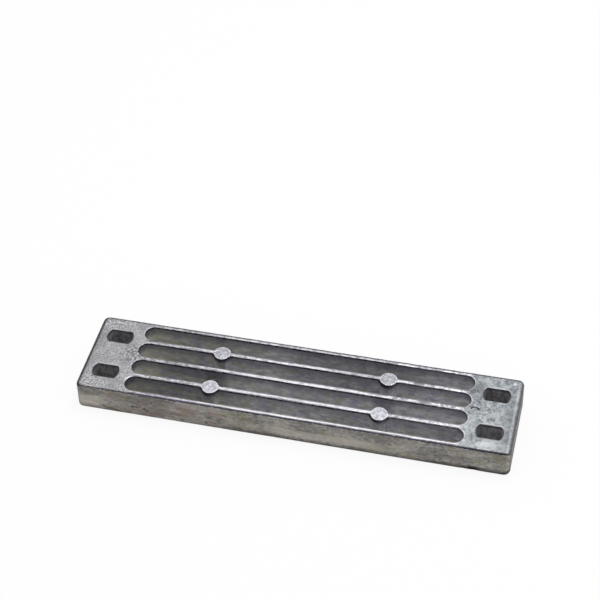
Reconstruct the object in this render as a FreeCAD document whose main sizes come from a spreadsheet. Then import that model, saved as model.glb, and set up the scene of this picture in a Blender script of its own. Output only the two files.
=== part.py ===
import FreeCAD, Part
import math
import os
import Sketcher

V = FreeCAD.Vector

# A ribbed bar anode, cast in one piece. The flat back lies on Z = 0, the bar runs along X and its
# open side faces up. The origin is the middle of the back face. Lengths in mm, angles in degrees.
SIZES = {
    # outside of the bar, measured at the rim: its sides spread by their draft towards the back
    "bar_length": 200.0,
    "bar_width": 46.0,
    "bar_height": 13.8,
    "corner_radius": 3.0,
    "side_draft": 1.0,
    "rim_round": 1.0,
    "back_round": 1.0,
    # long blind slots that open at the rim, with ribs between them
    "slot_count": 4,
    "outer_wall": 2.45,
    "rib_thickness": 2.1,
    "floor_thickness": 4.0,
    "slot_draft": 1.0,
    "slot_floor_round": 1.0,
    "land_to_slot": 4.65,
    # round ejector pads that stand in the two outermost ribs
    "pad_diameter": 8.2,
    "pad_spacing": 78.4,
    "pad_root_round": 1.5,
    # bolt holes: a round hole with two flats that run along the bar
    "bolt_hole_diameter": 12.3,
    "bolt_hole_flats": 7.7,
    "bolt_to_end": 11.2,
    "bolt_to_side": 11.8,
}

# Sizes that follow from the ones above, as formulas on the spreadsheet.
FOLLOWING = {
    "slot_width": "=(bar_width - 2 * outer_wall + rib_thickness) / slot_count - rib_thickness",
    "slot_pitch": "=slot_width + rib_thickness",
    "slot_row": "=slot_pitch * (slot_count - 1) / 2",
    "slot_depth": "=bar_height - floor_thickness",
    "bolt_x": "=bar_length / 2 - bolt_to_end",
    "bolt_y": "=bar_width / 2 - bolt_to_side",
    "slot_tip": "=bolt_x - bolt_hole_diameter / 2 - land_to_slot",
    "slot_end": "=slot_tip - slot_width / 2",
    "pad_x": "=pad_spacing / 2",
    "pad_y": "=slot_pitch * (slot_count - 2) / 2",
}

TOLERANCE = 0.01


def make_sheet(doc):
    """The driving dimensions and those that follow from them, one row each, with an alias to bind to."""
    sheet = doc.addObject("Spreadsheet::Sheet", "Sizes")
    for row, (alias, value) in enumerate((SIZES | FOLLOWING).items(), start=1):
        sheet.set(f"A{row}", alias)
        sheet.set(f"B{row}", str(value))
        sheet.setAlias(f"B{row}", alias)
    doc.recompute()
    return sheet


def origin_feature(body, role):
    return next(item for item in body.Origin.OriginFeatures if item.Role == role)


def rim_sketch(body, name):
    """A sketch in the plane of the rim, the open side of the bar."""
    sketch = body.newObject("Sketcher::SketchObject", name)
    sketch.AttachmentSupport = [(origin_feature(body, "XY_Plane"), "")]
    sketch.MapMode = "FlatFace"
    sketch.setExpression(".AttachmentOffset.Base.z", "Sizes.bar_height")
    return sketch


def constrain(sketch, kind, *where, value=None, expression=None, name=None):
    """Adds one constraint; a driven one gets a name and is bound to the spreadsheet."""
    arguments = where if value is None else (*where, value)
    index = sketch.addConstraint(Sketcher.Constraint(kind, *arguments))
    if expression:
        sketch.renameConstraint(index, name)
        sketch.setExpression(f"Constraints.{name}", expression)


def draw_arc(sketch, centre, radius, start, end):
    circle = Part.Circle(centre, V(0, 0, 1), radius)
    return sketch.addGeometry(Part.ArcOfCircle(circle, start, end), False)


def draw_line(sketch, start, end):
    return sketch.addGeometry(Part.LineSegment(start, end), False)


START, END, CENTRE = 1, 2, 3
ORIGIN = (-1, 1)


def outline_sketch(body, sizes):
    """The rounded rectangle of the rim, centred on the origin."""
    sketch = rim_sketch(body, "Outline")
    half_x = sizes.bar_length / 2
    half_y = sizes.bar_width / 2
    corner = sizes.corner_radius
    in_x = half_x - corner
    in_y = half_y - corner
    right = draw_line(sketch, V(half_x, -in_y, 0), V(half_x, in_y, 0))
    rear_right = draw_arc(sketch, V(in_x, in_y, 0), corner, 0, math.pi / 2)
    rear = draw_line(sketch, V(in_x, half_y, 0), V(-in_x, half_y, 0))
    rear_left = draw_arc(sketch, V(-in_x, in_y, 0), corner, math.pi / 2, math.pi)
    left = draw_line(sketch, V(-half_x, in_y, 0), V(-half_x, -in_y, 0))
    front_left = draw_arc(sketch, V(-in_x, -in_y, 0), corner, math.pi, 1.5 * math.pi)
    front = draw_line(sketch, V(-in_x, -half_y, 0), V(in_x, -half_y, 0))
    front_right = draw_arc(sketch, V(in_x, -in_y, 0), corner, 1.5 * math.pi, 2 * math.pi)
    loop = [right, rear_right, rear, rear_left, left, front_left, front, front_right]
    for this, following in zip(loop, loop[1:] + loop[:1]):
        constrain(sketch, "Tangent", this, END, following, START)
    for line in (right, left):
        constrain(sketch, "Vertical", line)
    for line in (rear, front):
        constrain(sketch, "Horizontal", line)
    for arc in (rear_left, front_left, front_right):
        constrain(sketch, "Equal", rear_right, arc)
    constrain(sketch, "Symmetric", right, START, left, START, *ORIGIN)
    constrain(sketch, "Radius", rear_right, value=corner,
              expression="Sizes.corner_radius", name="corner")
    constrain(sketch, "DistanceX", left, START, right, START, value=2 * half_x,
              expression="Sizes.bar_length", name="length")
    constrain(sketch, "DistanceY", front, START, rear, START, value=2 * half_y,
              expression="Sizes.bar_width", name="width")
    return sketch


def slot_sketch(body, sizes):
    """The mouth of the slot nearest the front side: two straights with round ends."""
    sketch = rim_sketch(body, "SlotMouth")
    radius = sizes.slot_width / 2
    end_x = sizes.slot_end
    row_y = -sizes.slot_row
    low = draw_line(sketch, V(-end_x, row_y - radius, 0), V(end_x, row_y - radius, 0))
    right = draw_arc(sketch, V(end_x, row_y, 0), radius, -math.pi / 2, math.pi / 2)
    high = draw_line(sketch, V(end_x, row_y + radius, 0), V(-end_x, row_y + radius, 0))
    left = draw_arc(sketch, V(-end_x, row_y, 0), radius, math.pi / 2, 1.5 * math.pi)
    loop = [low, right, high, left]
    for this, following in zip(loop, loop[1:] + loop[:1]):
        constrain(sketch, "Tangent", this, END, following, START)
    constrain(sketch, "Horizontal", low)
    constrain(sketch, "Equal", right, left)
    constrain(sketch, "Radius", right, value=radius, expression="Sizes.slot_width / 2", name="end")
    constrain(sketch, "DistanceX", *ORIGIN, right, CENTRE, value=end_x,
              expression="Sizes.slot_end", name="right_end")
    constrain(sketch, "DistanceX", left, CENTRE, *ORIGIN, value=end_x,
              expression="Sizes.slot_end", name="left_end")
    constrain(sketch, "DistanceY", right, CENTRE, *ORIGIN, value=-row_y,
              expression="Sizes.slot_row", name="row")
    return sketch


def pad_sketch(body, sizes):
    """The round top of one ejector pad, on the middle line of the rear rib."""
    sketch = rim_sketch(body, "PadTop")
    centre = V(sizes.pad_x, sizes.pad_y, 0)
    circle = sketch.addGeometry(Part.Circle(centre, V(0, 0, 1), sizes.pad_diameter / 2), False)
    constrain(sketch, "Diameter", circle, value=sizes.pad_diameter,
              expression="Sizes.pad_diameter", name="size")
    constrain(sketch, "DistanceX", *ORIGIN, circle, CENTRE, value=centre.x,
              expression="Sizes.pad_x", name="along")
    constrain(sketch, "DistanceY", *ORIGIN, circle, CENTRE, value=centre.y,
              expression="Sizes.pad_y", name="across")
    return sketch


def bolt_hole_sketch(body, sizes):
    """One bolt hole: two arcs of a circle, joined by flats that run along the bar."""
    sketch = rim_sketch(body, "BoltHole")
    radius = sizes.bolt_hole_diameter / 2
    half_flats = sizes.bolt_hole_flats / 2
    centre = V(sizes.bolt_x, sizes.bolt_y, 0)
    turn = math.asin(half_flats / radius)
    reach = radius * math.cos(turn)
    right = draw_arc(sketch, centre, radius, -turn, turn)
    left = draw_arc(sketch, centre, radius, math.pi - turn, math.pi + turn)
    high = draw_line(sketch, centre + V(reach, half_flats, 0), centre + V(-reach, half_flats, 0))
    low = draw_line(sketch, centre + V(-reach, -half_flats, 0), centre + V(reach, -half_flats, 0))
    loop = [right, high, left, low]
    for this, following in zip(loop, loop[1:] + loop[:1]):
        constrain(sketch, "Coincident", this, END, following, START)
    constrain(sketch, "Coincident", right, CENTRE, left, CENTRE)
    constrain(sketch, "Horizontal", high)
    constrain(sketch, "Horizontal", low)
    constrain(sketch, "Symmetric", high, START, low, START, right, CENTRE)
    constrain(sketch, "Diameter", right, value=2 * radius,
              expression="Sizes.bolt_hole_diameter", name="round")
    constrain(sketch, "DistanceY", low, START, high, END, value=2 * half_flats,
              expression="Sizes.bolt_hole_flats", name="flats")
    constrain(sketch, "DistanceX", *ORIGIN, right, CENTRE, value=centre.x,
              expression="Sizes.bolt_x", name="along")
    constrain(sketch, "DistanceY", *ORIGIN, right, CENTRE, value=centre.y,
              expression="Sizes.bolt_y", name="across")
    return sketch


def mirror_to_corners(body, feature, name):
    """Repeats a feature about both middle planes, so that it stands in all four quarters."""
    corners = body.newObject("PartDesign::MultiTransform", name)
    corners.Originals = [feature]
    steps = []
    for role in ("YZ_Plane", "XZ_Plane"):
        step = body.newObject("PartDesign::Mirrored", f"{name}{role[:2]}")
        step.MirrorPlane = (origin_feature(body, role), [""])
        steps.append(step)
    corners.Transformations = steps
    return corners


def edge_names(shape, wanted):
    """The names of the edges of a shape that a test picks out."""
    return [f"Edge{number}" for number, edge in enumerate(shape.Edges, start=1) if wanted(edge)]


def is_level(edge, height):
    box = edge.BoundBox
    return abs(box.ZMin - height) < TOLERANCE and abs(box.ZMax - height) < TOLERANCE


def level_edges(shape, height):
    return edge_names(shape, lambda edge: is_level(edge, height))


def outline_edges(shape, height):
    """The outermost loop of level edges: the outline of the face at a height."""
    faces = [face for face in shape.Faces if all(is_level(edge, height) for edge in face.Edges)]
    loop = max((face.OuterWire for face in faces), key=lambda wire: wire.BoundBox.DiagonalLength)
    return edge_names(shape, lambda edge: any(edge.isSame(other) for other in loop.Edges))


def pad_root_edges(shape, sizes):
    """The steep edges where the ejector pads grow out of their ribs."""
    def wanted(edge):
        box = edge.BoundBox
        from_floor = abs(box.ZMin - sizes.floor_thickness) < TOLERANCE
        to_rim = abs(box.ZMax - sizes.bar_height) < TOLERANCE
        at_pad = abs(abs(box.Center.x) - sizes.pad_x) < sizes.pad_diameter
        return from_floor and to_rim and at_pad

    return edge_names(shape, wanted)


def add_fillet(body, base, name, edges, radius):
    fillet = body.newObject("PartDesign::Fillet", name)
    fillet.Base = (base, edges)
    fillet.setExpression("Radius", radius)
    return fillet


def make_anode(doc, sizes):
    """The casting: a drafted bar with its slots, ejector pads, bolt holes and rounded edges."""
    body = doc.addObject("PartDesign::Body", "Anode")
    body.Label = "anode"

    bar = body.newObject("PartDesign::Pad", "Bar")
    bar.Profile = outline_sketch(body, sizes)
    bar.Reversed = True
    bar.setExpression("Length", "Sizes.bar_height")
    bar.setExpression("TaperAngle", "Sizes.side_draft")

    slot = body.newObject("PartDesign::Pocket", "Slot")
    slot.Profile = slot_sketch(body, sizes)
    slot.setExpression("Length", "Sizes.slot_depth")
    slot.setExpression("TaperAngle", "-Sizes.slot_draft")

    slots = body.newObject("PartDesign::LinearPattern", "Slots")
    slots.Originals = [slot]
    slots.Direction = (origin_feature(body, "Y_Axis"), [""])
    slots.setExpression("Length", "2 * Sizes.slot_row")
    slots.setExpression("Occurrences", "Sizes.slot_count")
    body.Tip = slots

    pad = body.newObject("PartDesign::Pad", "EjectorPad")
    pad.Profile = pad_sketch(body, sizes)
    pad.Reversed = True
    pad.setExpression("Length", "Sizes.slot_depth")
    pad.setExpression("TaperAngle", "Sizes.slot_draft")
    pads = mirror_to_corners(body, pad, "EjectorPads")
    body.Tip = pads
    doc.recompute()

    pad_roots = pad_root_edges(pads.Shape, sizes)
    roots = add_fillet(body, pads, "PadRoots", pad_roots, "Sizes.pad_root_round")
    doc.recompute()
    floor = level_edges(roots.Shape, sizes.floor_thickness)
    add_fillet(body, roots, "SlotFloors", floor, "Sizes.slot_floor_round")

    hole = body.newObject("PartDesign::Pocket", "BoltHoleCut")
    hole.Profile = bolt_hole_sketch(body, sizes)
    hole.Type = "ThroughAll"
    holes = mirror_to_corners(body, hole, "BoltHoles")
    body.Tip = holes
    doc.recompute()

    rim = outline_edges(holes.Shape, sizes.bar_height)
    rims = add_fillet(body, holes, "Rim", rim, "min(Sizes.rim_round; 0.8 * Sizes.outer_wall)")
    doc.recompute()
    back = outline_edges(rims.Shape, 0)
    add_fillet(body, rims, "BackEdge", back, "Sizes.back_round")
    doc.recompute()
    return body


def check_document(doc, body):
    """Stops the build if a feature failed, or if a cut took nothing away."""
    for item in doc.Objects:
        if "Invalid" in item.State or "Error" in item.State:
            raise RuntimeError(f"{item.Name} failed: {item.State}")
    shape = body.Shape
    if shape.isNull() or not shape.isValid() or len(shape.Solids) != 1:
        raise RuntimeError("the casting is not one valid solid")
    for before, after in (("Bar", "Slots"), ("SlotFloors", "BoltHoles")):
        if doc.getObject(after).Shape.Volume >= doc.getObject(before).Shape.Volume:
            raise RuntimeError(f"{after} cut nothing away")


def main():
    doc = FreeCAD.newDocument("RibbedAnode")
    sizes = make_sheet(doc)
    body = make_anode(doc, sizes)
    check_document(doc, body)
    os.makedirs("parts", exist_ok=True)
    body.Shape.exportStep(f"parts/{body.Label}.step")
    print(f"{body.Label}: {body.Shape.Volume / 1000:.1f} cm3")


main()
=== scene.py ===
import math

import bmesh
import bpy
from mathutils import Matrix, Vector, noise


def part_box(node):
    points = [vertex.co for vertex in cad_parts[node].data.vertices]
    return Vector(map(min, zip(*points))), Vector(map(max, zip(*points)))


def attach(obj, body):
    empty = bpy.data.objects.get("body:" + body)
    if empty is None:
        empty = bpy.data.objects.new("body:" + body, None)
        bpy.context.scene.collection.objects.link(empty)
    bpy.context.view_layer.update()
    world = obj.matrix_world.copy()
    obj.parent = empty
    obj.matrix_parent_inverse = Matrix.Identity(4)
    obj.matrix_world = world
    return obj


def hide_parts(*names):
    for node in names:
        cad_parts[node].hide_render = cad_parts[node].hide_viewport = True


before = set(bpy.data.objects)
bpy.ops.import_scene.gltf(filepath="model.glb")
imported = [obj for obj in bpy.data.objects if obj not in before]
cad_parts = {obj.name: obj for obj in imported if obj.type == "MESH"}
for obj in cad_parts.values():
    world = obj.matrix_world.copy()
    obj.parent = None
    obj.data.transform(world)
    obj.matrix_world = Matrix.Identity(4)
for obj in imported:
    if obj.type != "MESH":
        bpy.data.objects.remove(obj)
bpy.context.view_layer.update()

bar_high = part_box("anode")[1]

# The bar's sizes. Lengths are millimetres in the shared frame, with x along the bar, y towards its rear
# and z up, and METRE turns them into Blender's metres. Only the studio is given in metres.
METRE = 0.001
BAR_HEIGHT = bar_high.z / METRE
BACK_HALF_LENGTH = bar_high.x / METRE
BACK_HALF_WIDTH = bar_high.y / METRE
RIM_HALF_LENGTH = 100.0
RIM_HALF_WIDTH = 23.0
CORNER_RADIUS = 3.0
SLOT_SPACING = 10.8
SLOT_RADIUS = 4.35
SLOT_TIP = 78.0
FIELD_HALF_WIDTH = 2 * SLOT_SPACING
PAD_X = 39.2
PAD_Y = SLOT_SPACING
PAD_RADIUS = 4.1
HOLE_X = 88.8
HOLE_Y = 11.2
HOLE_RADIUS = 6.15
HOLE_HALF_FLATS = 3.85

# Fineness and tolerances of the dressed casting's mesh.
MERGE_GAP = 0.001
FLAT_ANGLE = math.radians(1.0)
TOUCH = 0.02
LEVEL_NORMAL = 0.999
WALL_NORMAL = 0.5
MOUTH_ROUND = 0.3
ARC_SHARE = 1 - math.sqrt(0.5)
CELL_X = 1.5
CELL_Y = 0.9
CELL_Z = 1.3

# Unevenness of the cast skin: the depth of each grade, the size of its lumps and its seed.
SKIN_GRADES = [(0.05, 21.0, 1), (0.035, 4.6, 2), (0.02, 1.5, 3)]
END_GRADES = [(0.09, 2.4, 8), (0.07, 5.0, 9)]
END_SKIN_START = RIM_HALF_LENGTH - 0.9
END_SKIN_FADE = 0.6

# Wear of the crests, which are the tops of the ribs, the pads and the two long rims between the end
# lands: where they end, how far down it reaches, how it rises along the bar, and how deep it goes.
CREST_END = SLOT_TIP - 2.0
CREST_END_FADE = 3.0
CREST_FINE_DEPTH = 0.45
CREST_WORN_DEPTH = 1.25
WEAR_RISE = 90.0
FRONT_RIM_Y = -FIELD_HALF_WIDTH + 1.4
FRONT_RIM_WEAR = 0.4
CREST_NICK = 0.1
CREST_CHIP = 0.35
EDGE_NICK = 0.45
PAD_NICK = 0.8
PAD_NICK_REACH = 0.3

# Small flaws of this casting: where each lies, its radius, how deep it is and how dark its painted
# shade is.
PITS = [
    ((82.6, -23.2, 1.5), 1.3, 0.15, 1.0),
    ((84.6, -23.2, 1.4), 1.5, 0.25, 1.0),
    ((79.6, -23.2, 0.9), 1.2, 0.15, 0.7),
    ((-38.4, -23.1, 2.8), 0.55, 0.3, 0.8),
    ((-72.9, -23.1, 5.4), 0.8, 0.2, 0.7),
    ((-71.2, -23.1, 5.6), 0.7, 0.15, 0.65),
    ((-69.8, -23.1, 5.9), 0.6, 0.15, 0.5),
    ((-67.4, -23.1, 5.0), 0.8, 0.2, 0.6),
    ((-66.2, -23.1, 4.2), 0.6, 0.15, 0.55),
    ((81.6, 5.6, BAR_HEIGHT), 0.5, 0.12, 0.6),
    ((90.6, -23.1, 8.2), 0.6, 0.25, 0.5),
    ((-95.6, -16.9, BAR_HEIGHT), 0.5, 0.12, 0.5),
    ((-93.4, -18.0, BAR_HEIGHT), 0.4, 0.1, 0.4),
]
PIT_REACH = 2.2

# The dent like a thumbnail's edge on the right land, open towards the front.
CRESCENT_X = 80.4
CRESCENT_Y = 0.8
CRESCENT_RADIUS = 1.75
CRESCENT_SQUASH = 1.3
CRESCENT_WIDTH = 0.35
CRESCENT_DEPTH = 0.28
CRESCENT_FRONT = -0.2
CRESCENT_REACH = 2.5
CRESCENT_MARGIN = 1.0

# The studio, in metres and watts. The camera was found from the outline, the holes, the slots and the
# pads in the photo's frame of 600 by 600.
FLOOR_HALF_WIDTH = 6.0
FLOOR_GLOW = 1.08
FLOOR_GLOW_SHARE = 0.82
FLOOR_GREY = (0.9, 0.9, 0.9, 1.0)
SURROUND_LIGHT = 0.5
WHITE = (1.0, 1.0, 1.0, 1.0)
LAMP_PLACE = (0.15, 0.2, 0.85)
LAMP_WIDTH = 0.35
LAMP_POWER = 1.6
CAMERA_PLACE = (0.13154, -0.50634, 0.57511)
CAMERA_FORWARD = (-0.17840, 0.69426, -0.69726)
CAMERA_RIGHT = (0.97316, 0.22917, -0.02081)
SENSOR_MILLIMETRES = 36.0
LENS_MILLIMETRES = 101.12


# The casting's mesh

def everything(shell):
    """All points, edges and faces, for the operators that want them in one list."""
    return shell.verts[:] + shell.edges[:] + shell.faces[:]


def merged_copy(node):
    """The CAD node's mesh as one closed shell, with its flat faces joined up."""
    shell = bmesh.new()
    shell.from_mesh(node.data)
    bmesh.ops.remove_doubles(shell, verts=shell.verts, dist=MERGE_GAP * METRE)
    bmesh.ops.dissolve_limit(
        shell,
        angle_limit=FLAT_ANGLE,
        use_dissolve_boundaries=False,
        verts=shell.verts,
        edges=shell.edges,
        delimit=set(),
    )
    return shell


def slice_once(shell, axis, place):
    """Cuts the shell through by one plane across an axis."""
    normal = Vector((0, 0, 0))
    normal[axis] = 1
    bmesh.ops.bisect_plane(
        shell,
        geom=everything(shell),
        dist=TOUCH * METRE,
        plane_co=normal * place * METRE,
        plane_no=normal,
    )


def slice_evenly(shell, axis, half_range, middle, cell):
    """Cuts parallel planes at even steps, so that the faces are small enough for the uneven skin."""
    count = math.ceil(2 * half_range / cell)
    for step in range(1, count):
        slice_once(shell, axis, middle - half_range + 2 * half_range * step / count)


def mouth_walls(shell, level):
    """For each point of the sharp slot and hole mouths at one level, the way that its wall faces."""
    ways = {}
    for edge in shell.edges:
        if max(abs(end.co.z / METRE - level) for end in edge.verts) > TOUCH:
            continue
        wall = min(edge.link_faces, key=lambda face: abs(face.normal.z))
        cap = max(edge.link_faces, key=lambda face: abs(face.normal.z))
        if abs(wall.normal.z) < WALL_NORMAL and abs(cap.normal.z) > LEVEL_NORMAL:
            for end in edge.verts:
                ways[end] = ways.get(end, Vector((0, 0, 0))) + wall.normal
    return ways


def round_mouths(shell, level, inwards):
    """Rounds the sharp edges of the slots, ribs, pads and bolt holes at one flat face."""
    slice_once(shell, 2, level + inwards * MOUTH_ROUND)
    caps = []
    for face in shell.faces:
        flat = abs(face.normal.z) > LEVEL_NORMAL
        if flat and abs(face.calc_center_median().z / METRE - level) < TOUCH:
            caps.append(face)
    bmesh.ops.inset_region(
        shell,
        faces=caps,
        thickness=MOUTH_ROUND * METRE,
        use_even_offset=True,
        use_boundary=True,
    )
    shell.normal_update()
    for point, way in mouth_walls(shell, level).items():
        way.z = 0
        move = -way.normalized()
        move.z = inwards
        point.co += move * MOUTH_ROUND * ARC_SHARE * METRE


def refine(shell, wanted):
    """Halves the faces whose middle is wanted, for detail finer than the grid."""
    near = set()
    for face in shell.faces:
        if wanted(face.calc_center_median() / METRE):
            near.update(face.edges)
    bmesh.ops.subdivide_edges(shell, edges=list(near), cuts=1, use_grid_fill=True)


def wave(place, size, seed):
    """Smooth noise from -1 to 1 whose lumps are about size across."""
    return noise.noise(place / size + Vector((seed * 7.3, seed * 3.1, seed * 5.7)))


def unevenness(place, grades):
    """How far a rough skin lies below the drawn surface: the sum of its grades."""
    total = 0.0
    for depth, size, seed in grades:
        total += depth * (0.5 + 0.5 * wave(place, size, seed))
    return total


def end_share(place):
    """1 on the two end faces, whose skin is coarser, and 0 inside of them."""
    return min(1.0, max(0.0, (abs(place.x) - END_SKIN_START) / END_SKIN_FADE))


def is_crest(place):
    """True on the crests."""
    return place.z > BAR_HEIGHT - CREST_FINE_DEPTH and abs(place.x) < CREST_END


def crest_share(place):
    """1 on the crests, fading out down their walls and towards the end lands."""
    down = (BAR_HEIGHT - place.z) / CREST_WORN_DEPTH
    past = (abs(place.x) - (CREST_END - CREST_END_FADE)) / CREST_END_FADE
    return max(0.0, 1.0 - down) * min(1.0, max(0.0, 1.0 - past))


def wear_share(place, least, middle):
    """How worn a crest is: least at the left, 1 at the right and middle between, less in front."""
    share = min(1.0, max(least, middle + place.x / WEAR_RISE))
    return share * (FRONT_RIM_WEAR if place.y < FRONT_RIM_Y else 1.0)


def crest_wear(place):
    """How far a crest is worn down and nicked."""
    nick = max(0.0, wave(place, size=1.5, seed=4) + 0.1)
    chip = max(0.0, wave(place, size=3.7, seed=5) - 0.2)
    return wear_share(place, 0.35, 0.7) * (CREST_NICK * nick + CREST_CHIP * chip)


def edge_nick(place):
    """How far a crest's rounded edges are broken back: the ribs become ragged and the pads uneven."""
    nick = wear_share(place, 0.3, 0.75) * EDGE_NICK * max(0.0, wave(place, size=1.7, seed=6))
    if math.hypot(abs(place.x) - PAD_X, abs(place.y) - PAD_Y) < PAD_RADIUS + PAD_NICK_REACH:
        nick += PAD_NICK * max(0.0, wave(place, size=2.4, seed=10) + 0.1)
    return nick


def pit_depth(place):
    """How deep the small flaws are at a place."""
    total = 0.0
    for middle, radius, depth, _ in PITS:
        gap = (place - Vector(middle)).length / radius
        if gap < PIT_REACH:
            total += depth * math.exp(-gap * gap)
    return total


def crescent_depth(place):
    """How deep the crescent is at a place."""
    if place.z < BAR_HEIGHT - MOUTH_ROUND:
        return 0.0
    gap_x = place.x - CRESCENT_X
    gap_y = place.y - CRESCENT_Y
    off_line = (math.hypot(gap_x, gap_y * CRESCENT_SQUASH) - CRESCENT_RADIUS) / CRESCENT_WIDTH
    if gap_y < CRESCENT_FRONT or abs(off_line) > CRESCENT_REACH:
        return 0.0
    return CRESCENT_DEPTH * math.exp(-off_line * off_line)


def cast_surface(shell):
    """Moves the shell's points inwards by the cast unevenness, the wear and the flaws."""
    shell.normal_update()
    moves = []
    for point in shell.verts:
        place = point.co / METRE
        skin = unevenness(place, SKIN_GRADES) + end_share(place) * unevenness(place, END_GRADES)
        move = point.normal * -(skin + pit_depth(place) + crescent_depth(place))
        worn = crest_share(place)
        if worn > 0:
            steep = min(1.0, 2.0 - 2.0 * abs(point.normal.z))
            move.z -= worn * crest_wear(place)
            move -= point.normal * worn * steep * edge_nick(place)
        moves.append(move * METRE)
    for point, move in zip(shell.verts, moves):
        point.co += move


def near_flaw(place):
    """True close to a pit or the crescent."""
    crescent = Vector((CRESCENT_X, CRESCENT_Y, BAR_HEIGHT))
    if (place - crescent).length < CRESCENT_RADIUS + CRESCENT_MARGIN:
        return True
    for middle, radius, _, _ in PITS:
        if (place - Vector(middle)).length < radius * PIT_REACH:
            return True
    return False


def make_casting(node):
    """The dressed bar, made from the CAD node's own mesh."""
    shell = merged_copy(node)
    round_mouths(shell, BAR_HEIGHT, -1)
    round_mouths(shell, 0.0, 1)
    slice_evenly(shell, 0, BACK_HALF_LENGTH, 0.0, CELL_X)
    slice_evenly(shell, 1, BACK_HALF_WIDTH, 0.0, CELL_Y)
    slice_evenly(shell, 2, BAR_HEIGHT / 2, BAR_HEIGHT / 2, CELL_Z)
    refine(shell, is_crest)
    refine(shell, near_flaw)
    refine(shell, near_flaw)
    cast_surface(shell)
    mesh = bpy.data.meshes.new("anode_casting")
    shell.to_mesh(mesh)
    shell.free()
    mesh.shade_smooth()
    casting = bpy.data.objects.new("anode_casting", mesh)
    bpy.context.scene.collection.objects.link(casting)
    even = casting.modifiers.new("even_shading", "WEIGHTED_NORMAL")
    even.mode = "FACE_AREA"
    even.weight = 50
    even.keep_sharp = False
    return casting


# Shader building

def colour(red, green, blue):
    """A shader colour from the 0 to 255 values of a screen."""
    values = []
    for level in (red, green, blue):
        part = level / 255
        values.append(part / 12.92 if part <= 0.04045 else ((part + 0.055) / 1.055) ** 2.4)
    return (*values, 1.0)


class Wire:
    """One value in a node tree: sums written on it add Math nodes."""

    def __init__(self, finish, socket):
        self.finish = finish
        self.socket = socket

    def math(self, operation, *others):
        """A Math node with this value first."""
        inputs = dict(enumerate((self, *others)))
        return self.finish.node("Math", {"operation": operation}, inputs)

    def __add__(self, other):
        return self.math("ADD", other)

    __radd__ = __add__

    def __mul__(self, other):
        return self.math("MULTIPLY", other)

    __rmul__ = __mul__

    def __sub__(self, other):
        return self.math("SUBTRACT", other)

    def __rsub__(self, other):
        return self.finish.node("Math", {"operation": "SUBTRACT"}, {0: other, 1: self})

    def __abs__(self):
        return self.math("ABSOLUTE")


class Finish:
    """A material or world node tree, with one method that adds any node."""

    def __init__(self, owner):
        owner.use_nodes = True
        self.tree = owner.node_tree
        self.tree.nodes.clear()

    def node(self, kind, settings=None, inputs=None, output=0):
        """Adds a node: its settings first, then the values or links of its inputs. Gives one output."""
        made = self.tree.nodes.new("ShaderNode" + kind)
        for name, value in (settings or {}).items():
            setattr(made, name, value)
        for key, value in (inputs or {}).items():
            if isinstance(value, Wire):
                self.tree.links.new(value.socket, made.inputs[key])
            else:
                made.inputs[key].default_value = value
        return Wire(self, made.outputs[output]) if made.outputs else None

    def smooth(self, value, low, high):
        """0 below low, 1 above high, and the reverse where low is the larger."""
        settings = {"interpolation_type": "SMOOTHSTEP"}
        if low < high:
            return self.node("MapRange", settings, {0: value, 1: low, 2: high, 3: 0.0, 4: 1.0})
        return self.node("MapRange", settings, {0: value, 1: high, 2: low, 3: 1.0, 4: 0.0})

    def band(self, value, middle, outer, inner):
        """1 where a value is within inner of the middle, 0 where it is further off than outer."""
        return self.smooth(abs(value - middle), outer, inner)

    def blend(self, factor, first, second):
        """A colour mix, through the node's sockets for colours."""
        inputs = {0: factor, 6: first, 7: second}
        return self.node("Mix", {"data_type": "RGBA"}, inputs, output=2)

    def grade(self, value, low, high, first, second):
        """The first screen colour where a value is low, the second where it is high."""
        return self.blend(self.smooth(value, low, high), colour(*first), colour(*second))

    def paint(self, base, coats):
        """Lays coats over a base in order: where each shows, how strongly, and its screen colour."""
        for where, strength, levels in coats:
            base = self.blend(where * strength, base, colour(*levels))
        return base

    def lumps(self, place, size, detail, rough, seed, scale=None):
        """Noise around 0.5 with lumps about size millimetres across, longer where scale is below 1."""
        if scale:
            place = self.node("VectorMath", {"operation": "MULTIPLY"}, {0: place, 1: scale})
        shift = (seed, 2 * seed, 3 * seed)
        shifted = self.node("VectorMath", {"operation": "ADD"}, {0: place, 1: shift})
        values = {"Vector": shifted, "Scale": 1 / size, "Detail": detail, "Roughness": rough}
        return self.node("TexNoise", {"noise_dimensions": "3D"}, values)

    def part(self, vector, axis):
        """One coordinate of a vector: X, Y or Z."""
        return self.node("SeparateXYZ", inputs={0: vector}, output=axis)

    def length(self, first, second):
        """The diagonal of two sides."""
        return (first * first + second * second).math("SQRT")


# The cast metal

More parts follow.
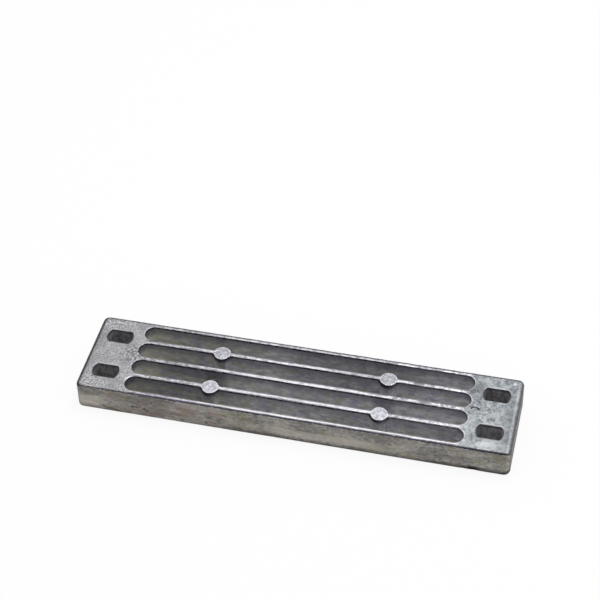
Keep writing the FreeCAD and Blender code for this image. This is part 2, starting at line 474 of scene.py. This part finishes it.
class Spots:
    """Values that say where on the bar a point of the surface lies, in millimetres or from 0 to 1."""

    def __init__(self, shade):
        metres = shade.node("TexCoord", output="Object")
        self.place = shade.node("VectorMath", {"operation": "SCALE"}, {0: metres, "Scale": 1 / METRE})
        self.x = shade.part(self.place, "X")
        self.y = shade.part(self.place, "Y")
        self.z = shade.part(self.place, "Z")
        facing = shade.node("NewGeometry", output="Normal")
        self.up = shade.part(facing, "Z")
        rearward = shade.part(facing, "Y")
        self.depth = BAR_HEIGHT - self.z
        along = abs(self.x)
        across = abs(self.y)

        self.inward_x = RIM_HALF_LENGTH - along
        past_x = along - (RIM_HALF_LENGTH - CORNER_RADIUS)
        past_y = across - (RIM_HALF_WIDTH - CORNER_RADIUS)
        beyond = shade.length(past_x.math("MAXIMUM", 0.0), past_y.math("MAXIMUM", 0.0))
        self.inward = CORNER_RADIUS - beyond - past_x.math("MAXIMUM", past_y).math("MINIMUM", 0.0)
        self.down_rim = self.depth - self.inward
        self.outside = shade.smooth(self.inward, 1.1, 0.8)

        off_line = SLOT_SPACING / 2 - across.math("PINGPONG", SLOT_SPACING / 2)
        past_end = (along - (SLOT_TIP - SLOT_RADIUS)).math("MAXIMUM", 0.0)
        self.from_mouth = shade.length(past_end, off_line) - SLOT_RADIUS
        in_field = shade.smooth(across, FIELD_HALF_WIDTH, FIELD_HALF_WIDTH - 0.4)
        self.in_slot = shade.smooth(self.from_mouth, 0.2, -0.05) * in_field
        self.from_rib = self.y.math("WRAP", SLOT_SPACING / 2, -SLOT_SPACING / 2)

        round_gap = shade.length(along - HOLE_X, across - HOLE_Y) - HOLE_RADIUS
        flat_gap = abs(across - HOLE_Y) - HOLE_HALF_FLATS
        self.from_hole = round_gap.math("MAXIMUM", flat_gap)
        self.from_pad = shade.length(along - PAD_X, across - PAD_Y) - PAD_RADIUS

        # The front rim's inner lip, which leans towards the rear, takes the top's light colours: a
        # painted highlight.
        bright_lip = shade.smooth(rearward, 0.1, 0.3) * shade.smooth(self.y, -19.9, -20.3)
        facing_up = shade.smooth(self.up + 0.35 * bright_lip, 0.6, 0.9)
        self.top = shade.smooth(self.depth, 0.8, 0.4) * facing_up
        self.crest = self.top * shade.smooth(along, SLOT_TIP - 0.5, SLOT_TIP - 4.0)
        self.pad = self.top * shade.smooth(self.from_pad, 0.1, -0.25)


def back_colour(shade, spots):
    """The flat back face: plain cast grey with soft clouds and a fine grain."""
    clouds = shade.lumps(
        spots.place, size=16.0, detail=4.0, rough=0.6, seed=27.0, scale=(0.6, 1.0, 1.0)
    )
    mottle = shade.lumps(spots.place, size=2.6, detail=6.0, rough=0.75, seed=33.0)
    grain = shade.lumps(spots.place, size=0.6, detail=2.0, rough=0.6, seed=35.0)
    back = shade.grade(mottle, 0.22, 0.78, (134, 134, 137), (180, 180, 183))
    return shade.paint(back, [
        (shade.smooth(clouds, 0.48, 0.64), 0.35, (190, 189, 190)),
        (shade.smooth(clouds, 0.5, 0.34), 0.4, (112, 112, 116)),
        (shade.smooth(grain, 0.36, 0.64), 0.22, (204, 204, 206)),
    ])


def left_land_colour(shade, spots):
    """The left end land: satin grey with a fine crossed grain, darker towards its outer edge."""
    grain = shade.lumps(spots.place, size=0.7, detail=3.0, rough=0.72, seed=23.0)
    strokes = shade.lumps(
        spots.place, size=0.6, detail=2.0, rough=0.6, seed=29.0, scale=(1.0, 0.35, 1.0)
    )
    clouds = shade.lumps(spots.place, size=6.0, detail=3.0, rough=0.55, seed=3.0)
    speck = shade.lumps(spots.place, size=1.1, detail=2.0, rough=0.7, seed=53.0)
    outer = shade.smooth(spots.inward_x, 4.0, 1.4)
    outer_rear = shade.smooth(spots.inward_x, 8.0, 4.0) * shade.band(spots.y, 7.0, 7.0, 3.0)
    corner = shade.smooth(abs(spots.y), 12.0, 19.0) * shade.smooth(spots.x, -82.0, -92.0)
    by_slots = shade.smooth(shade.length(spots.x + 80.0, 0.7 * (spots.y - 1.0)), 6.0, 2.5)
    # Near the front corner and by the slots the land is speckled; the pale specks there are painted
    # glints.
    rough = corner.math("MAXIMUM", by_slots)
    land = shade.grade(grain, 0.34, 0.66, (116, 116, 119), (196, 196, 199))
    return shade.paint(land, [
        (shade.smooth(strokes, 0.4, 0.64), 0.45, (196, 196, 199)),
        (shade.smooth(clouds, 0.58, 0.36), 0.35, (128, 128, 132)),
        (outer, 0.35, (112, 112, 116)),
        (outer_rear, 0.3, (116, 116, 120)),
        (by_slots, 0.5, (110, 110, 115)),
        (rough * shade.smooth(speck, 0.52, 0.62), 0.7, (230, 230, 233)),
        (rough * shade.smooth(speck, 0.46, 0.36), 0.65, (88, 87, 92)),
    ])


def right_land_colour(shade, spots):
    """The right end land: crisp blue-grey clouds, darker along its outer edge and by the slots."""
    mottle = shade.lumps(spots.place, size=1.7, detail=5.0, rough=0.8, seed=11.0)
    clouds = shade.lumps(spots.place, size=5.0, detail=3.0, rough=0.6, seed=3.0)
    speck = shade.lumps(spots.place, size=0.9, detail=3.0, rough=0.75, seed=59.0)
    by_front_hole = shade.band(spots.y, -15.6, 2.0, 0.8)
    by_front = shade.smooth(spots.y, -16.8, -18.4)
    right_middle = shade.smooth(spots.x, 88.0, 92.0) * shade.band(spots.y, 0.0, 7.0, 4.0)
    outer = shade.smooth(spots.inward_x, 9.0, 3.0)
    by_slots = shade.smooth(spots.x, 85.0, 82.0)
    rear_part = shade.band(spots.y, 12.0, 9.0, 4.0)
    front_part = shade.band(spots.y, -9.0, 5.0, 2.0)
    from_glint = shade.length(spots.x - 95.8, spots.y - 19.6)
    land = shade.grade(mottle, 0.38, 0.62, (106, 111, 115), (186, 190, 193))
    return shade.paint(land, [
        (shade.smooth(clouds, 0.5, 0.62), 0.5, (202, 206, 208)),
        (shade.smooth(clouds, 0.48, 0.36), 0.4, (104, 110, 116)),
        (shade.smooth(speck, 0.56, 0.66), 0.6, (222, 225, 227)),
        (shade.smooth(speck, 0.44, 0.34), 0.6, (86, 91, 96)),
        (by_front_hole, 0.25, (104, 108, 112)),
        (by_front, 0.2, (216, 219, 223)),
        (right_middle, 0.25, (112, 117, 121)),
        (outer, 0.4 + 0.12 * shade.smooth(spots.y, 2.0, -4.0), (104, 108, 112)),
        (by_slots, 0.1, (104, 108, 112)),
        (by_slots * rear_part, 0.45, (96, 100, 104)),
        (by_slots * front_part, 0.2, (222, 225, 228)),
        (shade.smooth(from_glint, 1.4, 0.4), 0.6, (234, 236, 238)),
    ])


def land_colour(shade, spots):
    """Both end lands, with thin broken painted highlights by the slots, the holes and the right
    outline.
    """
    broken = shade.lumps(spots.place, size=1.2, detail=3.0, rough=0.7, seed=61.0)
    wander = shade.lumps(spots.place, size=4.0, detail=2.0, rough=0.5, seed=67.0)
    dashes = shade.smooth(broken, 0.34, 0.54)
    brighter_right = 0.55 + 0.35 * shade.smooth(spots.x, -20.0, 20.0)
    left = left_land_colour(shade, spots)
    right = right_land_colour(shade, spots)
    land = shade.blend(shade.smooth(spots.x, -60.0, 60.0), left, right)

    from_edge = spots.inward_x + 0.8 * (broken - 0.5)
    rim_line = shade.band(from_edge, 2.0, 0.8, 0.2) * shade.smooth(spots.x, 60.0, 90.0) * 0.34

    by_front_slot = shade.smooth(spots.x, -72.0, -75.0) * shade.smooth(spots.y, -10.0, -13.0)
    by_its_rib = by_front_slot * shade.smooth(spots.y, -19.0, -15.0)
    slot_line = shade.smooth(spots.from_mouth + 1.2 * (wander - 0.5), 0.9, 0.35)
    slot_line = slot_line * brighter_right.math("MAXIMUM", by_its_rib)
    slot_line = slot_line * (0.5 + 0.5 * shade.smooth(spots.from_rib, 1.0, -1.0))
    arc = shade.smooth(spots.from_mouth, 1.2, 0.7) * shade.smooth(spots.y, -16.0, -13.5)

    behind_middle = spots.y - HOLE_Y * spots.y.math("SIGN")
    hole_line = shade.smooth(spots.from_hole + 0.8 * (wander - 0.5), 1.0, 0.45)
    hole_line = hole_line * (0.35 + 0.65 * shade.smooth(behind_middle, 1.5, 3.8))
    hole_line = hole_line * (0.3 + 0.7 * brighter_right)
    hole_dashes = dashes.math("MAXIMUM", 0.75 * shade.smooth(spots.x, 60.0, 80.0))

    # The bright lines are painted highlights along the rounded mouths of the slots and holes and along
    # the right outline.
    line = (slot_line * dashes).math("MAXIMUM", hole_line * hole_dashes)
    line = line.math("MAXIMUM", rim_line * dashes) * 0.88
    line = line.math("MAXIMUM", by_front_slot * arc * 0.9)
    return shade.blend(line, land, colour(228, 229, 233))


def crest_colour(shade, spots):
    """The ribs and long rims: a thin broken painted highlight wanders over the grey, duller at the
    left.
    """
    sparkle = shade.lumps(
        spots.place, size=0.9, detail=3.0, rough=0.75, seed=31.0, scale=(0.5, 1.0, 1.0)
    )
    wander = shade.lumps(
        spots.place, size=20.0, detail=2.0, rough=0.5, seed=37.0, scale=(1.0, 3.0, 1.0)
    )
    dents = shade.lumps(spots.place, size=5.0, detail=3.0, rough=0.6, seed=71.0)
    dents = shade.smooth(dents, 0.5, 0.62)
    front_rim = shade.smooth(spots.y, -16.0, -20.0)
    bright_rim = front_rim * shade.smooth(spots.x, -60.0, -44.0)
    violet_rim = front_rim * shade.band(spots.x, -56.0, 18.0, 10.0)
    inner_ribs = shade.band(spots.y, 5.4, 9.0, 7.0)

    # The line is a painted highlight that wanders along each crest; the shoulder beside it is darker.
    line_middle = 1.8 * (wander - 0.5) - 0.02 - spots.y * 0.014
    line_middle = line_middle + 0.3 * front_rim + 0.42 * bright_rim
    off_line = abs(spots.from_rib - line_middle) + 0.9 * (sparkle - 0.5) - 0.26 * bright_rim
    line = shade.smooth(off_line, 0.95, 0.4)

    shoulder = shade.grade(sparkle, 0.38, 0.6, (96, 94, 101), (158, 157, 162))
    shoulder = shade.paint(shoulder, [(violet_rim, 0.4, (104, 88, 124))])

    dull = shade.grade(sparkle, 0.4, 0.58, (136, 135, 140), (218, 217, 220))
    dull = shade.paint(dull, [
        (dents, 0.4, (118, 116, 122)),
        (violet_rim, 0.2, (188, 172, 202)),
        (inner_ribs, 0.2, (126, 125, 130)),
    ])

    deeper = 0.3 * inner_ribs * shade.smooth(spots.x, 28.0, 46.0)
    deeper = deeper - 0.25 * shade.smooth(spots.y, -2.0, -8.0)
    lifted = shade.band(spots.y, -6.0, 9.0, 7.0) * shade.band(spots.x, 4.0, 38.0, 30.0)
    worn_flat = shade.smooth(spots.y, 3.0, 7.0) * shade.band(spots.x, 26.0, 20.0, 12.0)
    rear_rim = shade.smooth(spots.y, 16.0, 20.0) * shade.smooth(wander, 0.58, 0.46)
    # Bright_rim and lifted make the painted highlights stronger where they are.
    bright = shade.grade(sparkle, 0.36, 0.54, (156, 154, 163), (238, 237, 242))
    bright = shade.paint(bright, [
        (dents, 0.6 + deeper, (128, 126, 134)),
        (lifted, 0.3, (246, 245, 250)),
        (bright_rim, 0.5, (250, 249, 252)),
        (worn_flat, 0.3, (128, 126, 134)),
        (rear_rim * shade.smooth(spots.x, 24.0, -6.0), 0.45, (126, 121, 138)),
    ])
    # Worn is 1 on the right, where the crests are worn more and carry the stronger painted highlights.
    worn = shade.smooth(spots.x, -66.0, -26.0)
    return shade.blend(line, shoulder, shade.blend(worn, dull, bright))


def pad_colour(shade, spots):
    """The four round pads: pale and bluish, with rough facets, lighter in front, and a painted
    highlight round the edge.
    """
    cells = {"Vector": spots.place, "Scale": 0.9}
    facets = shade.node("TexVoronoi", {"feature": "F1"}, cells, output="Color")
    sparkle = shade.lumps(spots.place, size=0.9, detail=3.0, rough=0.7, seed=41.0)
    rear_right = shade.smooth(spots.y, -2.0, 2.0) * shade.smooth(spots.x, 0.0, 10.0)
    in_front = shade.smooth(spots.y, 2.0, -2.0)
    # A broken painted highlight round each pad's edge.
    pad_edge_highlight = shade.band(spots.from_pad, -0.5, 0.4, 0.15) * shade.smooth(sparkle, 0.46, 0.56)
    shine = 0.3 * shade.part(facets, "X") + sparkle
    pad = shade.grade(shine, 0.4, 0.9, (146, 147, 156), (214, 215, 222))
    return shade.paint(pad, [
        (rear_right, 0.25, (138, 140, 146)),
        (in_front, 0.16, (236, 236, 242)),
        (pad_edge_highlight, 0.7, (244, 244, 247)),
    ])


def patches(shade, spots, base, olive, violet, violet_strength):
    """Lays olive and violet patches, drawn out along the bar, over a base colour."""
    coats = []
    for seed, strength, levels in ((17.0, 0.7, olive), (73.0, violet_strength, violet)):
        blot = shade.lumps(
            spots.place, size=3.2, detail=4.0, rough=0.65, seed=seed, scale=(0.55, 1.0, 1.0)
        )
        coats.append((shade.smooth(blot, 0.5, 0.64), strength, levels))
    return shade.paint(base, coats)


def wall_colour(shade, spots):
    """Inside the slots: raw grey with olive and violet patches, and painted shade that is darkest just
    under the crests.
    """
    mottle = shade.lumps(
        spots.place, size=1.4, detail=5.0, rough=0.7, seed=7.0, scale=(0.35, 1.0, 1.0)
    )
    ragged = shade.lumps(spots.place, size=1.6, detail=3.0, rough=0.65, seed=5.0)
    patchy = 0.6 + 0.8 * shade.smooth(ragged, 0.36, 0.64)
    edge = spots.depth + 1.7 * (ragged - 0.5)
    # Painted light: the walls are lighter in the right half, and lighter deep in the left ends.
    left = shade.grade(mottle, 0.34, 0.66, (175, 175, 171), (217, 217, 214))
    right = shade.grade(mottle, 0.34, 0.66, (197, 197, 198), (237, 237, 239))
    wall = shade.blend(shade.smooth(spots.x, -48.0, -4.0), left, right)
    wall = patches(shade, spots, wall, (182, 182, 150), (166, 161, 190), 0.7)

    left_end = shade.smooth(spots.x, -62.0, -73.0) * shade.smooth(spots.depth, 1.5, 6.0)
    # Painted shade on the curved end walls of the slots, near the top.
    left_arc = shade.smooth(spots.x, -74.0, -76.4) * shade.smooth(spots.depth, 6.0, 2.0)
    right_arc = shade.smooth(spots.x, 73.6, 75.6) * shade.smooth(spots.depth, 4.0, 1.5)
    middle = shade.smooth(spots.x, -16.0, 0.0) * shade.smooth(spots.x - 1.4 * spots.y, 44.0, 16.0)
    behind = 0.3 + 0.7 * shade.smooth(spots.y, -4.0, 6.0)
    middle_rib = shade.band(spots.y, -1.5, 4.0, 2.5)
    lighter_middle_rib = middle_rib * shade.smooth(spots.x, -38.0, -28.0)
    # A patch of painted shade on the middle rib's walls towards the left.
    painted_shade_spot = middle_rib * (shade.band(spots.x, -50.0, 17.0, 8.0) * shade.smooth(spots.depth, 8.0, 5.0))
    # Painted shadow on the middle rib's walls where they face the pads.
    shadow_behind_pads = middle_rib * shade.band(abs(spots.x), PAD_X, 7.0, 3.0)
    slot_floor = shade.smooth(spots.depth, 8.2, 9.4) * shade.smooth(spots.up, 0.5, 0.9)
    front_slot = shade.smooth(spots.y, -9.0, -13.0)
    opened = front_slot * shade.smooth(spots.x, -30.0, -16.0)

    left_of_pad = shade.smooth(spots.x - PAD_X * spots.x.math("SIGN"), 2.0, -1.5)
    # Painted shadow under each pad, down its stem.
    stem_shadow = shade.smooth(spots.from_pad, 1.0, 0.3) * shade.smooth(edge, 2.8, 1.6)
    from_pad_row = spots.y - PAD_Y * spots.y.math("SIGN")
    # Painted highlights down both sides of each stem, in front of the pads.
    before_pad = shade.smooth(from_pad_row, -1.2, -2.0) * shade.smooth(spots.from_pad, 1.6, 0.8)
    stem_edge_highlight = shade.band(abs(abs(spots.x) - PAD_X), 2.9, 0.5, 0.15) * shade.smooth(edge, 2.8, 4.0)
    # A broken line of painted shade just under the crests.
    line = shade.smooth(edge, 1.35, 1.05) * (0.38 + 0.56 * shade.smooth(ragged, 0.44, 0.54))
    return shade.paint(wall, [
        (left_end, 0.35, (236, 234, 216)),
        (left_arc, 0.4 + 0.25 * shade.smooth(spots.y, -8.0, -12.0), (84, 80, 92)),
        (right_arc, 0.5, (76, 75, 92)),
        (middle * behind, 0.34, (118, 116, 122)),
        (lighter_middle_rib, 0.12, (250, 249, 250)),
        (painted_shade_spot * patchy, 0.42, (96, 92, 100)),
        (shadow_behind_pads * patchy, 0.4, (96, 93, 100)),
        (slot_floor, 0.55, (193, 193, 194)),
        (front_slot * shade.smooth(spots.x, -32.0, -44.0), 0.2, (96, 94, 100)),
        (front_slot * shade.smooth(spots.x, 0.0, 24.0), 0.16, (128, 127, 130)),
        # Painted shade: the walls darken towards the crests.
        (shade.smooth(edge, 7.0, 0.8), 0.72 - 0.24 * opened, (112, 109, 126)),
        (stem_shadow, 0.5 + 0.4 * left_of_pad, (48, 42, 60)),
        (before_pad * stem_edge_highlight, 0.3, (236, 234, 238)),
        (line, 1 - 0.22 * shade.smooth(spots.x, 30.0, 46.0), (32, 28, 50)),
    ])


def hole_colour(shade, spots):
    """Inside the bolt holes: dark grey, with painted shade under the top edge, lighter in the front
    right hole.
    """
    mottle = shade.lumps(
        spots.place, size=1.8, detail=4.0, rough=0.65, seed=19.0, scale=(1.0, 1.0, 0.6)
    )
    front_right = shade.smooth(spots.x, 0.0, 10.0) * shade.smooth(spots.y, 2.0, -2.0)
    # Painted shade just under the top edge.
    shade_under_edge = shade.smooth(spots.depth, 2.4, 0.8)
    hole = shade.grade(mottle, 0.38, 0.62, (128, 127, 130), (168, 166, 168))
    return shade.paint(hole, [
        (front_right, 0.15, (204, 202, 206)),
        (shade_under_edge, 0.6, (44, 43, 50)),
    ])


def side_colour(shade, spots):
    """The outer sides: blotched olive, brown and warm grey, with painted shade at the bottom and dark
    end faces.
    """
    mottle = shade.lumps(
        spots.place, size=1.5, detail=5.0, rough=0.74, seed=13.0, scale=(0.62, 1.0, 1.0)
    )
    blotch = shade.lumps(
        spots.place, size=6.0, detail=2.0, rough=0.5, seed=83.0, scale=(0.4, 1.0, 1.0)
    )
    streak = shade.lumps(
        spots.place, size=1.6, detail=3.0, rough=0.6, seed=9.0, scale=(0.16, 1.0, 1.0)
    )
    ragged = shade.lumps(spots.place, size=2.4, detail=3.0, rough=0.6, seed=79.0)
    speck = shade.lumps(spots.place, size=1.2, detail=2.0, rough=0.5, seed=47.0)
    pink_strength = 0.2 + 0.45 * shade.smooth(spots.x, 10.0, -40.0)
    side = shade.grade(mottle, 0.27, 0.73, (84, 82, 80), (170, 168, 164))
    side = patches(shade, spots, side, (136, 134, 108), (142, 116, 112), pink_strength)

    streaked = 0.36 - 0.2 * shade.smooth(spots.x, -6.0, 30.0)
    lit = shade.band(spots.x, 16.0, 42.0, 14.0) * shade.band(spots.z, 5.2, 2.9, 1.2)
    upper_left = shade.band(spots.x, -40.0, 18.0, 8.0) * shade.smooth(spots.z, 9.4, 11.0)
    lower_left = shade.band(spots.x, -50.0, 24.0, 14.0) * shade.band(spots.z, 4.7, 2.8, 1.6)
    brown = shade.band(spots.x, -70.0, 18.0, 8.0)
    in_front = shade.smooth(spots.y, 0.0, -10.0)
    pale = shade.smooth(spots.x, -82.0, -92.0) * shade.band(spots.z, 5.6, 4.4, 1.4)
    off_scar = abs(spots.z - 3.0 + 0.2 * (spots.x + 88.0) + 0.8 * (ragged - 0.5))
    scar = shade.smooth(off_scar, 1.1, 0.4) * shade.band(spots.x, -83.5, 6.0, 3.5)

    # Painted shade: the sides darken towards the bottom.
    height = spots.z + 1.2 * (ragged - 0.5)
    narrowed = 0.7 * shade.band(spots.x, 30.0, 38.0, 28.0)
    low = shade.smooth(height + narrowed, 3.9, 1.5) * shade.smooth(spots.x, -62.0, -12.0)
    shaded_low_left = shade.smooth(height, 1.9, 0.9) * shade.smooth(spots.x, -72.0, -84.0)
    shaded_low_right = shade.smooth(height, 3.4, 1.2) * shade.smooth(spots.x, 94.0, 97.5)
    # A painted highlight down the rounded upright corners.
    corner = shade.band(abs(spots.x), RIM_HALF_LENGTH - 1.0, 1.0, 0.3)
    corner = corner * shade.smooth(ragged, 0.4, 0.56)
    # Painted shade along the sides' left end.
    shaded_left_edge = shade.smooth(spots.inward_x, 1.7, 1.1) * shade.smooth(spots.x, 0.0, -10.0)
    side = shade.paint(side, [
        (shade.smooth(blotch, 0.5, 0.66), 0.4, (178, 172, 164)),
        (shade.smooth(blotch, 0.5, 0.34), 0.35, (92, 88, 84)),
        (shade.smooth(streak, 0.53, 0.68), streaked, (176, 171, 162)),
        (shade.smooth(streak, 0.47, 0.34), streaked, (92, 89, 86)),
        (lit, 0.45, (182, 176, 168)),
        (upper_left, 0.35, (184, 180, 174)),
        (lower_left, 0.22, (80, 76, 72)),
        (brown, 0.3, (86, 77, 74)),
        (pale * in_front, 0.5, (198, 191, 182)),
        (scar * in_front, 0.6, (78, 58, 56)),
        (shade.smooth(speck, 0.62, 0.7), 0.35, (78, 73, 72)),
        (low, 0.66 + 0.14 * shade.smooth(spots.x, 56.0, 66.0), (54, 51, 51)),
        (shaded_low_left, 0.5, (58, 56, 56)),
        (shaded_low_right, 0.4, (50, 48, 48)),
        (corner, 0.45, (196, 193, 188)),
        (shaded_left_edge, 0.6, (58, 57, 58)),
    ])

    end_face = shade.smooth(spots.inward_x, 0.8, 0.1)
    end_grain = shade.lumps(
        spots.place, size=1.5, detail=5.0, rough=0.75, seed=97.0, scale=(1.0, 0.7, 0.8)
    )
    end_grey = shade.grade(end_grain, 0.38, 0.62, (42, 42, 44), (130, 129, 128))
    return shade.blend(end_face * 0.85, side, end_grey)


def rim_paint(shade, spots, base):
    """The rounded edge round the outline, in painted shade: a dark line in front, a dark band left,
    grey behind.
    """
    ragged = shade.lumps(spots.place, size=1.4, detail=3.0, rough=0.65, seed=43.0)
    inward = spots.inward + 0.6 * (ragged - 0.5)
    upper = shade.smooth(spots.depth, 1.1, 0.9)
    behind = shade.smooth(spots.y, 20.8, 21.6) * shade.smooth(inward, 1.6, 1.1) * upper
    grey = shade.grade(ragged, 0.44, 0.6, (60, 58, 68), (124, 122, 131))
    base = shade.blend(behind * 0.9, base, grey)

    right = shade.smooth(spots.x, 98.0, 98.8) * shade.smooth(inward, 1.4, 0.9) * upper
    left = shade.smooth(spots.x, -97.6, -98.4) * shade.smooth(inward, 1.9, 1.2) * upper
    far_right = shade.smooth(spots.x, 74.0, 82.0)
    below_line = spots.down_rim + 0.38 + 0.06 * far_right + 1.6 * (ragged - 0.5)
    off_line = abs(below_line) - 0.25 * far_right
    front = shade.smooth(spots.y, -21.6, -22.2) * shade.smooth(off_line, 0.7, 0.35) * upper
    front_strength = 0.8 + 0.08 * shade.smooth(spots.x, -44.0, -24.0) + 0.06 * far_right
    return shade.paint(base, [
        (right, 0.6 + 0.3 * shade.smooth(ragged, 0.4, 0.6), (90, 89, 92)),
        (left, 0.9, (54, 53, 56)),
        (front, front_strength, (35, 30, 45)),
    ])


def flaw_paint(shade, spots, base):
    """Paints shade into the crescent and the pits."""
    gap_x = spots.x - CRESCENT_X
    gap_y = spots.y - CRESCENT_Y
    off_line = abs(shade.length(gap_x, CRESCENT_SQUASH * gap_y) - CRESCENT_RADIUS)
    crescent = shade.smooth(off_line, 0.7, 0.3) * shade.smooth(gap_y, -0.3, 0.5) * spots.top
    coats = [(crescent, 0.9, (40, 38, 40))]
    for middle, radius, _, darkness in PITS:
        ends = {0: spots.place, 1: middle}
        gap = shade.node("VectorMath", {"operation": "DISTANCE"}, ends, output="Value")
        coats.append((shade.smooth(gap, 1.5 * radius, 0.4 * radius), darkness, (26, 24, 26)))
    return shade.paint(base, coats)


def build_metal():
    """The cast metal's material: colours for each part of the bar, then painted shade on the rim and in
    the flaws.
    """
    material = bpy.data.materials.new("cast_zinc_aluminium")
    shade = Finish(material)
    spots = Spots(shade)
    grain = shade.lumps(spots.place, size=0.55, detail=2.0, rough=0.6, seed=23.0)
    mottle = shade.lumps(spots.place, size=3.2, detail=4.0, rough=0.62, seed=11.0)
    hole = shade.smooth(spots.from_hole, 0.9, 0.5)
    at_back = shade.smooth(spots.depth, BAR_HEIGHT - 0.5, BAR_HEIGHT - 0.25)
    back = at_back * shade.smooth(spots.up, -0.85, -0.97)

    base = shade.blend(spots.outside, wall_colour(shade, spots), side_colour(shade, spots))
    base = shade.blend(hole, base, hole_colour(shade, spots))
    base = shade.blend(back, base, back_colour(shade, spots))
    base = shade.blend(spots.top, base, land_colour(shade, spots))
    base = shade.blend(spots.crest, base, crest_colour(shade, spots))
    base = shade.blend(spots.pad, base, pad_colour(shade, spots))
    base = rim_paint(shade, spots, base)
    base = flaw_paint(shade, spots, base)

    roughness = 0.4 + 0.16 * mottle + 0.06 * (1 - spots.top) - 0.1 * spots.crest + 0.4 * hole
    metallic = 0.9 - 0.5 * spots.in_slot * shade.smooth(spots.up, 0.3, 0.8) * (1 - spots.top)
    height = 0.6 * grain + 0.4 * mottle
    bump = shade.node("Bump", {}, {"Strength": 0.35, "Distance": 0.2 * METRE, "Height": height})
    surface = shade.node(
        "BsdfPrincipled",
        {},
        {"Base Color": base, "Metallic": metallic, "Roughness": roughness, "Normal": bump},
    )
    shade.node("OutputMaterial", {}, {0: surface})
    return material


# Floor, light and camera

def sees_backdrop(shade):
    """1 for the rays that see the white backdrop: straight to the camera, or through gloss or glass."""
    straight = shade.node("LightPath", output="Is Camera Ray")
    gloss = shade.node("LightPath", output="Is Glossy Ray")
    glass = shade.node("LightPath", output="Is Transmission Ray")
    return (straight + gloss + glass).math("MINIMUM", 1.0)


def build_floor():
    """A floor that looks almost white and still shows the bar's shadow."""
    shell = bmesh.new()
    bmesh.ops.create_grid(shell, x_segments=1, y_segments=1, size=FLOOR_HALF_WIDTH)
    mesh = bpy.data.meshes.new("studio_floor")
    shell.to_mesh(mesh)
    shell.free()
    floor = bpy.data.objects.new("studio_floor", mesh)
    bpy.context.scene.collection.objects.link(floor)
    material = bpy.data.materials.new("white_floor")
    shade = Finish(material)
    matte = shade.node("BsdfDiffuse", {}, {"Color": FLOOR_GREY})
    glow = shade.node("Emission", {}, {"Color": WHITE, "Strength": FLOOR_GLOW})
    share = sees_backdrop(shade) * FLOOR_GLOW_SHARE
    surface = shade.node("MixShader", {}, {0: share, 1: matte, 2: glow})
    shade.node("OutputMaterial", {}, {0: surface})
    mesh.materials.append(material)


def build_world():
    """A white surround, which lights the bar less than it looks."""
    world = bpy.data.worlds.new("white_studio")
    bpy.context.scene.world = world
    shade = Finish(world)
    strength = SURROUND_LIGHT + (1 - SURROUND_LIGHT) * sees_backdrop(shade)
    white = shade.node("Background", {}, {"Color": WHITE, "Strength": strength})
    shade.node("OutputWorld", {}, {0: white})


def build_lamp():
    """A soft square lamp above and behind the bar, turned towards it."""
    light = bpy.data.lights.new("overhead_lamp", "AREA")
    light.shape = "SQUARE"
    light.size = LAMP_WIDTH
    light.energy = LAMP_POWER
    lamp = bpy.data.objects.new("overhead_lamp", light)
    lamp.location = LAMP_PLACE
    lamp.rotation_euler = (-Vector(LAMP_PLACE)).to_track_quat("-Z", "Y").to_euler()
    bpy.context.scene.collection.objects.link(lamp)


def build_camera():
    """The photo's camera."""
    forward = Vector(CAMERA_FORWARD)
    right = Vector(CAMERA_RIGHT)
    up = right.cross(forward)
    lens = bpy.data.cameras.new("photo_camera")
    lens.sensor_width = SENSOR_MILLIMETRES
    lens.lens = LENS_MILLIMETRES
    camera = bpy.data.objects.new("photo_camera", lens)
    turn = Matrix((right, up, -forward)).transposed()
    camera.matrix_world = Matrix.Translation(CAMERA_PLACE) @ turn.to_4x4()
    bpy.context.scene.collection.objects.link(camera)
    bpy.context.scene.camera = camera


casting = make_casting(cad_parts["anode"])
casting.data.materials.clear()
casting.data.materials.append(build_metal())
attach(casting, "root")
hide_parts("anode")

build_floor()
build_world()
build_lamp()
build_camera()
bpy.context.scene.view_settings.view_transform = "Standard"
